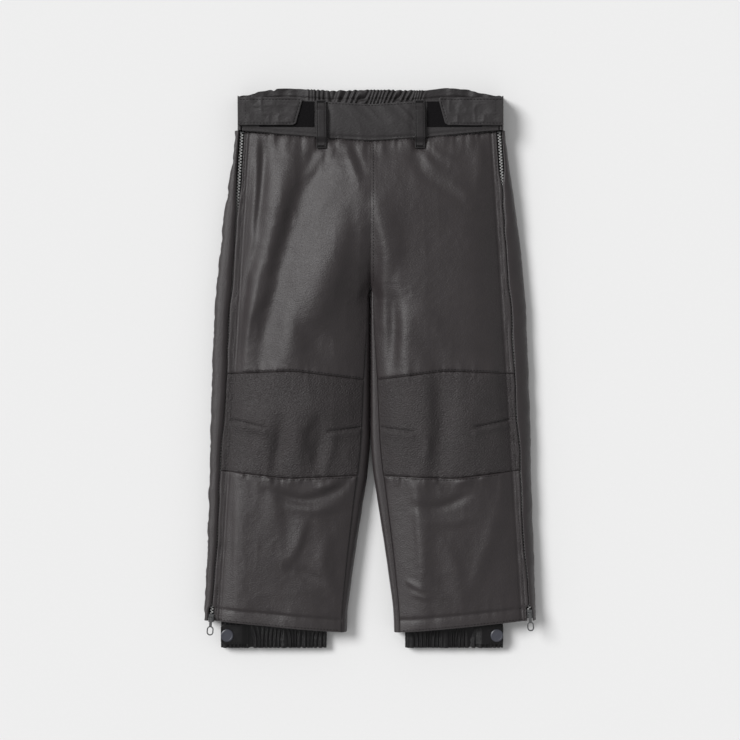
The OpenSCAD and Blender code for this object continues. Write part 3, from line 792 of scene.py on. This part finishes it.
def settled_z(x, y):
    """The front's lowest height just around a place, for the layers beneath."""
    around = [front_z(x + dx, y + dy) for dx, dy in ((0, 0), (3, 0), (-3, 0), (0, 3), (0, -3))]
    return np.min(around, axis=0)


def front_layer(name, side, y0, y1, offsets, material, step=4.5):
    """An inner layer of the front, offsets below the shell's surface."""
    us, vs = edge_grid(LAYER_WIDTH, y1 - y0, step, 0.5)
    y = mix(y1, y0, vs)
    y = y + hem_slant(y, us)
    x = mix(zip_x(y) - LAYER_SETBACK, layer_in_x(y), us)
    z = settled_z(side * x, y)
    return closed_sheet(name, *(stack(side * x, y, z - d) for d in offsets), material)


def build_shell(label, side):
    parts = [
        ("thigh_panel", WAIST_SEAM, KNEE_TOP, SHELL, "shell_fabric"),
        ("knee_patch", KNEE_TOP, KNEE_BOTTOM, KNEE, "knee_fabric"),
        ("shin_panel", KNEE_BOTTOM, HEM, SHELL, "shell_fabric"),
    ]
    for part, top, bottom, material, slot in parts:
        piece = front_panel(f"{part}_{label}_cloth", side, top, bottom, material)
        finish_piece(piece, slot, [f"{part}_{label}"])
    piece = back_piece(f"back_panel_{label}_cloth", side, PANEL_HEM, PANEL_TOP, 0, SHELL_T, 90,
                       SHELL)
    finish_piece(piece, "shell_fabric", [f"back_panel_{label}"])


def build_inner_layers(label, side):
    inner, facing = (INNER_HEM, INNER_TOP), (FACING_HEM, FACING_TOP)
    layers = [
        ("insulation", FRONT_INSULATION, BACK_INSULATION, inner, FILLING, "insulation_fill"),
        ("lining", LINING_D, LINING_D, inner, LINING, "lining_fabric"),
        ("hem_facing", FRONT_FACING, BACK_FACING, facing, BAND, "waistband_fabric"),
    ]
    for layer, front_d, back_d, (y0, y1), material, slot in layers:
        front = front_layer(f"front_{layer}_{label}_cloth", side, y0, y1, front_d, material)
        finish_piece(front, slot, [f"front_{layer}_{label}"])
        back = back_piece(f"back_{layer}_{label}_cloth", side, y0, y1, *back_d, INNER_START,
                          material, step=4.5, wrinkle=0.0)
        finish_piece(back, slot, [f"back_{layer}_{label}"])
        for piece, form in ((front, "front"), (back, "back")):
            if layer == "insulation":
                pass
            else:
                cloth_sheet(piece)


def build_leg_stitching(label, side):
    def across(seam, shift, x0=150, x1=12):
        x = np.linspace(x0, x1, 110)
        y = table_at(seam, x) + shift
        x = np.minimum(x, zip_x(y) - 4)
        keep = x > front_in_x(y) + 2
        return on_surface(side * x[keep], y[keep], front_z)

    rows = [
        across(KNEE_TOP, SEAM_STITCH), across(KNEE_BOTTOM, -SEAM_STITCH),
        across(HEM, HEM_STITCH, 180), across(HEM, 2.5, 184),
        across(WAIST_SEAM, -2.0, 143, 4),
    ]
    y = np.linspace(258, -290, 420)
    rows.append(on_surface(side * (zip_x(y) - LIP_SEAM), y, front_z))
    for end in ("in", "out"):
        (x0, y0), (x1, y1) = dart_line(side, end)
        rows.append(row_points(x0, y0 + 1.6, x1, y1 + 0.4, front_z))
    if side > 0:
        rows.append(row_points(CENTRE_STITCH, 264, CENTRE_STITCH, CROTCH_Y + 3, front_z))
    stitch_rows(f"leg_stitching_{label}", rows, "shell_fabric")


# --- Waist
BAND_T = 1.2
BAND_HEIGHT = 42
BACK_BAND_T, BACK_BAND_HEIGHT = 1.3, 55
BAND_WRAP_X = 151.0
GATHER_HALF, GATHER_PITCH = 76.0, 5.3
FACING_HALF, ELASTIC_HALF = 141, 74


def gathers(x, up):
    """Leaning, uneven pleats: 0 in the folds and outside, 1 on the crests."""
    lean = 0.5 * ease((x + 62) / 50) + 0.12 * noise(x, 0 * x, 14, 47)
    phase = (x - lean * up) / GATHER_PITCH + 0.75 * noise(x, up * 0.1, GATHER_PITCH * 1.9, 46)
    crest = np.abs(np.sin(np.pi * phase)) ** 1.15
    size = 0.78 + 0.32 * noise(x, up * 0.2, 9, 48)
    return crest * size * ease((GATHER_HALF - np.abs(x + 8)) / 14)


def back_edge(x):
    """How far the waist's back stands above its CAD edge, lumpy at the sides."""
    side = ease((np.abs(x + 4) - 106) / 5)
    return mix(4.0, 2.6, side) + side * 1.5 * noise(x, 0 * x, 6.5, 49) + 0.7 * noise(x, 0 * x, 24, 47)


def band_face(x, y):
    """Height of the front waistband's face."""
    ax = np.abs(x)
    low, high = table_at(WAIST_SEAM, ax), table_at(FRONT_TOP, ax)
    v = np.clip((y - low) / (high - low), 0, 1)
    puff = 0.9 * ease((50 - ax) / 8) * (1 - np.abs(2 * v - 1) ** 3)
    slack = 0.5 * noise(x + y * 0.6, y * 0.5, 19, 40) + 0.35 * creases(x + y, y * 0.4, 13, 39)
    slack = slack + 0.5 * pucker(x, y - low, 1.0, 5, 8, 41)
    return BAND_Z + (puff + slack) * ease((64 - ax) / 10) + groove(y - low - SEAM_STITCH, 1.0, 1.0)


def build_front_band():
    def place(u, v):
        x = mix(-BAND_HALF, BAND_HALF, u)
        low, high = table_at(WAIST_SEAM, np.abs(x)), table_at(FRONT_TOP, np.abs(x))
        y = mix(low - 0.6, high, v) + 0.35 * noise(x, v, 17, 42)
        return x, y, band_face(x, y)

    band = slab("front_waistband_cloth", place, 2 * BAND_HALF, BAND_HEIGHT, BAND_T, BAND,
                step=1.6, roll=0.7)
    finish_piece(band, "waistband_fabric", ["front_waistband"])
    x = np.linspace(-148, 148, 240)
    rows = []
    for seam, shift in ((WAIST_SEAM, SEAM_STITCH), (FRONT_TOP, -2.0)):
        rows.append(on_surface(x, table_at(seam, np.abs(x)) + shift, band_face))
    stitch_rows("front_waistband_stitching", rows, "waistband_fabric")


def band_path(d, count):
    """The back waistband's section: x, z, and the share of the way to the back."""
    angle = np.linspace(90, -90, 19)
    px, pz = bulge(5 - d, BAND_Z / 2 - d, angle)
    x = np.linspace(BAND_WRAP_X, 0, count)[1:]
    wrap = np.stack([BAND_WRAP_X + px, BAND_Z / 2 + pz, (90 - angle) / 180], -1)
    floor = np.stack([x, d + 0 * x, 1 + 0 * x], -1)
    half = np.concatenate([wrap, floor])
    return np.concatenate([half, half[-2::-1] * (-1, 1, 1)])


def build_back_band():
    faces = []
    v = edged(BACK_BAND_HEIGHT, 2.5, 0.5)[:, None]
    for d in (0.0, BACK_BAND_T):
        x, z, share = band_path(d, 100).T[:, None, :]
        ax = np.minimum(np.abs(x), BAND_HALF)
        low = table_at(WAIST_SEAM, ax)
        high = mix(table_at(FRONT_TOP, ax), table_at(BACK_TOP, ax), share)
        pleat = gathers(x, (1 - v) * 50)
        top_wave = 0.9 * noise(x, share * 9, 13, 44) * share + 1.2 * pleat
        y = mix(high + top_wave + back_edge(x) * share, low, v)
        rise = np.where(share >= 1, 1.1 * pleat * (0.4 + 0.6 * np.abs(2 * v - 1)), 0)
        slack = 0.5 * noise(y * 0.4, z, 12, 45 + int(d)) * (1 - np.abs(2 * np.minimum(share, 1) - 1))
        faces.append(stack(x - np.sign(x) * np.abs(slack), y, np.maximum(z + rise, d)))
    band = closed_sheet("back_waistband_cloth", *faces, BAND)
    finish_piece(band, "waistband_fabric", ["back_waistband"])


def build_waist_inside():
    def facing(u, v):
        x = mix(-FACING_HALF, FACING_HALF, u)
        ax = np.abs(x)
        pleat = gathers(x, v * 50)
        low, high = table_at(WAIST_SEAM, ax) + 1, table_at(BACK_TOP, ax) - 0.6
        y = mix(low, high + back_edge(x) + 1.2 * pleat, v)
        channel = groove(y - high + 6, 0.9, 1.2) + groove(y - high + 22, 0.9, 1.2)
        lumps = 1.6 * noise(x, y * 0.7, 9, 52) * ease((np.abs(x) - 78) / 14)
        z = 5.4 + 4.6 * pleat * (1 - 0.2 * v) + 0.8 * noise(x, y, 24, 48) + lumps + channel
        return x, y, z

    piece = slab("waist_facing_cloth", facing, 2 * FACING_HALF, 54, 1.0, BAND, step=1.1,
                 roll=0.4)
    finish_piece(piece, "waistband_fabric", ["waist_facing"])
    cloth_sheet(piece)

    def elastic(u, v):
        x = mix(-ELASTIC_HALF, ELASTIC_HALF, u)
        return x, mix(274, 318, v), 2.9 + 0.3 * gathers(x, v * 50)

    piece = slab("waist_elastic_webbing", elastic, 2 * ELASTIC_HALF, 44, 1.2, WEBBING, step=1.6,
                 roll=0.3)
    finish_piece(piece, "elastic_webbing", ["waist_elastic"])
    cloth_sheet(piece)


LOOP_STITCH = 4.3


def loop_arch(y):
    """Height of a belt loop's face along its length."""
    return 31.2 + 3.5 * ease((309 - y) / 8) * ease((y - 264) / 8)


def loop_lean(y, side):
    return 0.5 * noise(y, side, 30, 50)


def build_belt_loops(label, side):
    low, high = cad_box_mm(f"belt_loop_{label}")
    mid, half = (low[0] + high[0]) / 2, (high[0] - low[0]) / 2

    def place(u, v):
        across = mix(-half, half, u)
        y = mix(low[1] - 1.0, high[1] + 0.6, v)
        lean = loop_lean(y, side)
        ridge = groove(np.abs(across) - LOOP_STITCH, 0.3, 0.7)
        return mid + across + lean, y, loop_arch(y) + ridge + 0.15 * noise(across, y, 9, 51)

    piece = slab(f"belt_loop_{label}_cloth", place, 12, 56, 1.25, LOOP_CLOTH, step=0.8, roll=0.8)
    finish_piece(piece, "waistband_fabric", [f"belt_loop_{label}"])
    cloth_sheet(piece)
    y = np.linspace(low[1], high[1], 60)
    rows = [stack(mid + off + loop_lean(y, side), y, loop_arch(y) - 0.2)
            for off in (-LOOP_STITCH, LOOP_STITCH)]
    stitch_rows(f"belt_loop_{label}_stitching", rows, "waistband_fabric", *SHORT_STITCH)
    rows = []
    for y0 in (low[1] + 1.6, high[1] - 1.6):
        for y in y0 + 0.42 * np.arange(-2, 3):
            rows.append([(mid + x, y, loop_arch(y) + 0.1) for x in (-5, 5)])
    stitch_rows(f"belt_loop_{label}_bar_tacks", rows, "waistband_fabric", 1.6, 1.7)


# --- Adjuster tabs
TAB_T = 1.2
BEND_START, BEND_END = 119.0, 109.0


def build_tab(label, side):
    (_, y0, _), (_, y1, z) = cad_box_mm(f"tab_strap_{label}")
    root_x, tip_top, tip_low = 155.0, 78.5, 87.5
    inset = 2.4

    def face(x, y):
        soft = 0.7 * noise(x + y * 0.5, y, 15, 60 + side) + 0.4 * creases(x, y, 10, 62 + side)
        return z + (soft + 0.1 * noise(x, y, 4, 64)) * ease((150 - np.abs(x)) / 10)

    def place(u, v):
        y = mix(y0, y1, v)
        tip = mix(tip_low, tip_top, v)
        tip = tip + 3.0 * ease((np.abs(2 * v - 1) - 0.85) / 0.15)
        x = side * mix(root_x, tip, u)
        y = y + 0.3 * noise(x, v, 25, 61)
        edge = np.minimum(np.minimum(y - y0, y1 - y), np.abs(x) - tip)
        return x, y, face(x, y) + groove(edge - inset, 0.45, 0.9) + 0.35 * ease(edge / 2.0) - 0.35

    piece = slab(f"tab_{label}_cloth", place, 74, 32.5, TAB_T, BAND, step=1.1, roll=0.5,
                 base=z - TAB_T)
    finish_piece(piece, "waistband_fabric", [f"tab_strap_{label}", f"tab_end_{label}"], None)

    def height(x, y):
        return face(x, y) - 0.3

    top_in, low_in = tip_top + inset + 0.6, tip_low + inset + 0.2
    low, high = y0 + inset, y1 - inset
    lines = [(153, low, low_in, low), (low_in, low, top_in, high), (top_in, high, 153, high),
             (146, high, 146, low)]
    rows = [row_points(side * xa, ya, side * xb, yb, height) for xa, ya, xb, yb in lines]
    stitching = stitch_rows(f"tab_{label}_stitching", rows, "waistband_fabric", body=None)
    start, end = ((side * x / 1000, (y0 + y1) / 2000, z / 1000) for x in (BEND_START, BEND_END))
    cloth_sheet(piece)
    for obj in (piece, stitching):
        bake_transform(obj)
        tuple(start)
        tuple(end)


def plain_slab(node, slot, material, rough=0.0, size=1.2, step=1.5, grow=0.0, body="garment"):
    """A thin strip in the box of its CAD node, with a slightly uneven face."""
    low, high = cad_box_mm(node)

    def place(u, v):
        x, y = mix(low[0], high[0], u), mix(low[1], high[1], v)
        return x, y, high[2] + grow + rough * noise(x, y, size, 65)

    piece = slab(f"{node}_cloth", place, high[0] - low[0], high[1] - low[1],
                 high[2] - low[2] + grow, material, step=step, roll=0.25)
    finish_piece(piece, slot, [node], body)
    return cloth_sheet(piece)


def build_waist_tapes(label):
    plain_slab(f"loop_tape_{label}", "hook_and_loop", LOOPS, rough=0.3, size=1.3, step=0.8, grow=0.1)
    plain_slab(f"hook_tape_{label}", "hook_and_loop", LOOPS, rough=0.12, size=1.0, step=0.8,
               body=f"tab_end_{label}")
    plain_slab(f"tab_anchor_{label}", "waistband_fabric", BAND)


# --- Side zips
ZIP_COS = 1 / math.hypot(1, ZIP_SLOPE)
ZIP_TOP_Y, ZIP_HEM_Y = 283.0, -294.0
ZIP_LENGTH = (ZIP_TOP_Y - ZIP_HEM_Y) / ZIP_COS - 2
TOOTH_PITCH, FIRST_TOOTH = 3.5, 6.5
# How far out each tape starts and ends from the slit, and its mesh's step
ZIP_TAPES = ((0.8, 4.6, 0.9), (-10.5, -0.8, 1.4))


def zip_point(side, out, along, z):
    """A point by its distance out from the slit and from the zip's upper end."""
    along_x, along_y = ZIP_SLOPE * ZIP_COS, ZIP_COS
    x = zip_x(ZIP_TOP_Y) + out * along_y - along * along_x
    y = ZIP_TOP_Y - out * along_x - along * along_y
    return stack(side * x, y, z)


def tooth_template():
    """One moulded tooth, from its tape (-1) to the middle of the zip (+1)."""
    rings = []
    for z, size in ((0.0, 1.0), (1.1, 1.0), (1.65, 0.8), (1.8, 0.45)):
        for a, b in ((-1, -1), (0.55, -0.85), (1, -0.5), (1, 0.5), (0.55, 0.85), (-1, 1)):
            rings.append((a * size, b * size, z))
    return np.array(rings)


def zip_teeth(side, z0):
    """Points and faces of each tooth: two rows, half a pitch apart."""
    template = tooth_template()
    face = np.concatenate([grid_quads(4, 6, True),
                           [[0, 3, 2, 1], [0, 5, 4, 3], [18, 19, 20, 21], [18, 21, 22, 23]]])
    for row, shift in ((1, 0.0), (-1, TOOTH_PITCH / 2)):
        for along in np.arange(FIRST_TOOTH + shift, ZIP_LENGTH - 2, TOOTH_PITCH):
            out = row * (0.85 - 1.25 * template[:, 0])
            points = zip_point(side, out, along + 1.15 * template[:, 1], z0 + template[:, 2])
            yield points, face if row * side < 0 else face[:, ::-1]


def build_zip(label, side):
    z0 = cad_box_mm(f"zip_coil_{label}")[0][2]
    teeth = repeated(f"zip_teeth_{label}", zip_teeth(side, z0), COIL)
    finish_piece(teeth, "zip_coil_plastic", [f"zip_coil_{label}"])
    tape_z = cad_box_mm(f"zip_tape_{label}")[1][2]
    tapes = []
    for out0, out1, step in ZIP_TAPES:

        def place(u, v):
            out = mix(out0, out1, u)
            z = tape_z + 0.12 * np.sin(out * 5.5)
            return np.moveaxis(zip_point(side, out, mix(2, ZIP_LENGTH - 1, v), z), -1, 0)

        tapes.append(slab("zip_tape", place, out1 - out0, ZIP_LENGTH, 0.6, TAPE, step=step, roll=0.15))
    tape = joined(f"zip_tape_{label}_cloth", tapes)
    finish_piece(tape, "zip_tape_fabric", [f"zip_tape_{label}"])
    both = sum(out1 - out0 for out0, out1, _ in ZIP_TAPES)
    cloth_sheet(tape, narrow=both)


# --- Snow gaiters
GAITER_POWER = 6.0
PLEAT = 5.0
ELASTIC_ROWS = (-315.5, -321.5)
GAITER_FLOOR = ([-330, -313, -302, -270], [0.3, 0.3, 2.5, 2.5])


def gaiter_ring(mid, half, y, top, d, count):
    """Evenly spaced points round a gaiter, with outward directions."""
    z0 = np.interp(y, *GAITER_FLOOR)
    b = (top - z0) / 2
    angles = np.linspace(0, 360, 1441)
    px, pz = bulge(half - d, b - d, angles, GAITER_POWER)
    px = px * np.sign(np.cos(np.radians(angles)))
    run = np.concatenate([[0], np.cumsum(np.hypot(np.diff(px), np.diff(pz)))])
    at = np.linspace(0, run[-1], count + 1)[:-1]
    x, z = np.interp(at, run, px), np.interp(at, run, pz)
    dx, dz = np.roll(x, -2) - np.roll(x, 2), np.roll(z, -2) - np.roll(z, 2)
    size = np.hypot(dx, dz) + 1e-9
    return mid + x, z0 + b + z, dz / size, -dx / size, at


def build_gaiter(label, side):
    low, high = cad_box_mm(f"gaiter_skirt_{label}")
    mid, half, top = (low[0] + high[0]) / 2, (high[0] - low[0]) / 2, high[2]
    ys = np.concatenate([np.linspace(high[1], -306, 9), np.linspace(-307.5, low[1], 15)])
    walls = []
    for d in (0.0, 1.0):
        wall = []
        for y in ys:
            x, z, nx, nz, at = gaiter_ring(mid, half, y, top, d, 420)
            tight = ease((-300 - y) / 14)
            phase = at / PLEAT + 0.8 * noise(at, y * 0.3, 10, 70 + side)
            pleat = np.abs(np.sin(np.pi * phase)) ** 1.1
            rows = sum(np.exp(-((y - r) / 0.9) ** 2) for r in ELASTIC_ROWS)
            push = (tight * (2.0 * (pleat - 0.75) * (1 - 0.4 * rows))
                    + (1 - tight) * 0.5 * (pleat - 0.5))
            push = push + 0.5 * noise(at, y * 0.4, 16, 72 + side)
            wave_y = -1.7 * (pleat - 0.5) * ease((-322 - y) / 5)
            wall.append(stack(x + nx * push, y + wave_y, np.maximum(z + nz * push, 0.05 + d)))
        walls.append(np.array(wall))
    piece = closed_sheet(f"gaiter_{label}_cloth", *walls, GAITER, wrap=True)
    finish_piece(piece, "gaiter_fabric", [f"gaiter_skirt_{label}"])
    cloth_sheet(piece)
    walls = []
    for d in (1.3, 2.2):
        rings = [(gaiter_ring(mid, half, y, top, d, 160), y) for y in np.linspace(-316, low[1] + 1, 6)]
        walls.append(np.array([stack(ring[0], y, ring[1]) for ring, y in rings]))
    piece = closed_sheet(f"gaiter_elastic_{label}_webbing", *walls, WEBBING, wrap=True)
    finish_piece(piece, "elastic_webbing", [f"gaiter_elastic_{label}"])
    cloth_sheet(piece)


def build_flap(label, side):
    low, high = cad_box_mm(f"gaiter_flap_{label}")
    hinge, tip = (low[0], high[0]) if side > 0 else (high[0], low[0])
    z, root = high[2], 9.0

    def place(u, v):
        x = mix(hinge - side * root, tip, u)
        y = mix(low[1], high[1], v)
        corner = ease((np.abs(2 * v - 1) - 0.7) / 0.3) * ease((u - 0.85) / 0.15)
        past = side * (x - hinge)
        rise = mix(13.9, z, ease((past + root) / (root - 1)))
        return x - side * 2.5 * corner, y, rise + 0.15 * noise(x, y, 8, 75)

    piece = slab(f"gaiter_flap_{label}_cloth", place, abs(tip - hinge) + root, high[1] - low[1],
                 0.95, GAITER, step=0.9, roll=0.4)
    finish_piece(piece, "gaiter_fabric", [f"gaiter_flap_{label}"], None)
    cloth_sheet(piece)
    inset, face = 2.0, z - 0.1
    x_in, x_out = hinge + side, tip - side * inset
    y_in, y_out = low[1] + inset, high[1] - inset
    corners = [(x_in, y_out, face), (x_out, y_out, face), (x_out, y_in, face), (x_in, y_in, face)]
    stitching = stitch_rows(f"gaiter_flap_{label}_stitching", zip(corners, corners[1:]),
                            "gaiter_fabric", *SHORT_STITCH, body=None)
    x, y, z = joints[f"gaiter_snap_{label}"]["pos_m"]
    for obj in (piece, stitching):
        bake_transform(obj)


# --- CAD hardware
def dress_hardware(node, material, edge):
    """A better material and rounded edges for a CAD node that stays."""
    obj = frame["nodes"][node]
    for slot in obj.material_slots:
        slot.link = "OBJECT"
        slot.material = material
    weld = obj.modifiers.new("weld", "WELD")
    weld.merge_threshold = 1e-6
    bevel = obj.modifiers.new("edges", "BEVEL")
    bevel.width, bevel.segments = edge / 1000, 3
    bevel.limit_method, bevel.angle_limit = "ANGLE", math.radians(35)
    bevel.harden_normals = True


for label, side in SIDES.items():
    build_shell(label, side)
    build_inner_layers(label, side)
    build_leg_stitching(label, side)
    build_belt_loops(label, side)
    build_tab(label, side)
    build_waist_tapes(label)
    build_zip(label, side)
    build_gaiter(label, side)
    build_flap(label, side)
    for node, material, edge in (
        ("zip_slider", METAL, 0.25), ("zip_pull", METAL, 0.3), ("zip_stop", METAL, 0.3),
        ("snap_cap", CAP, 0.15), ("snap_socket", NICKEL, 0.25), ("snap_stud", NICKEL, 0.2),
    ):
        dress_hardware(f"{node}_{label}", material, edge)
build_front_band()
build_back_band()
build_waist_inside()


# --- Camera, floor and light
VIEW_WIDTH = 0.8658
VIEW_LEVEL = 0.025
LENS, SENSOR = 85.0, 36.0
SKY, SUN, SUN_DEGREES = 0.45, 2.8, 24
SUN_WAY = (0.82, -0.50, -0.94)
FLOOR_HALF = 40000


def build_stage():
    scene = bpy.context.scene
    camera = bpy.data.objects.new("camera", bpy.data.cameras.new("camera"))
    camera.data.lens, camera.data.sensor_width = LENS, SENSOR
    camera.location = (-0.0006, -0.0006, VIEW_LEVEL + VIEW_WIDTH * LENS / SENSOR)
    bpy.context.collection.objects.link(camera)
    scene.camera = camera
    world = bpy.data.worlds.new("world")
    world.use_nodes = True
    background = world.node_tree.nodes["Background"]
    background.inputs["Color"].default_value = (1, 1, 1, 1)
    background.inputs["Strength"].default_value = SKY
    scene.world = world
    scene.view_settings.view_transform = "Standard"
    sun = bpy.data.objects.new("key", bpy.data.lights.new("key", "SUN"))
    sun.data.energy, sun.data.angle = SUN, math.radians(SUN_DEGREES)
    sun.rotation_euler = Vector(SUN_WAY).to_track_quat("-Z", "Y").to_euler()
    bpy.context.collection.objects.link(sun)
    floor_mat = solid("floor", (0.80, 0.80, 0.80), 0.9, specular=0.1, scuff=0.01, relief=0.0)
    corners = [(x * FLOOR_HALF, y * FLOOR_HALF, 0) for x, y in ((-1, -1), (1, -1), (1, 1), (-1, 1))]
    floor = new_object("floor", corners, [(0, 1, 2, 3)], floor_mat)


build_stage()
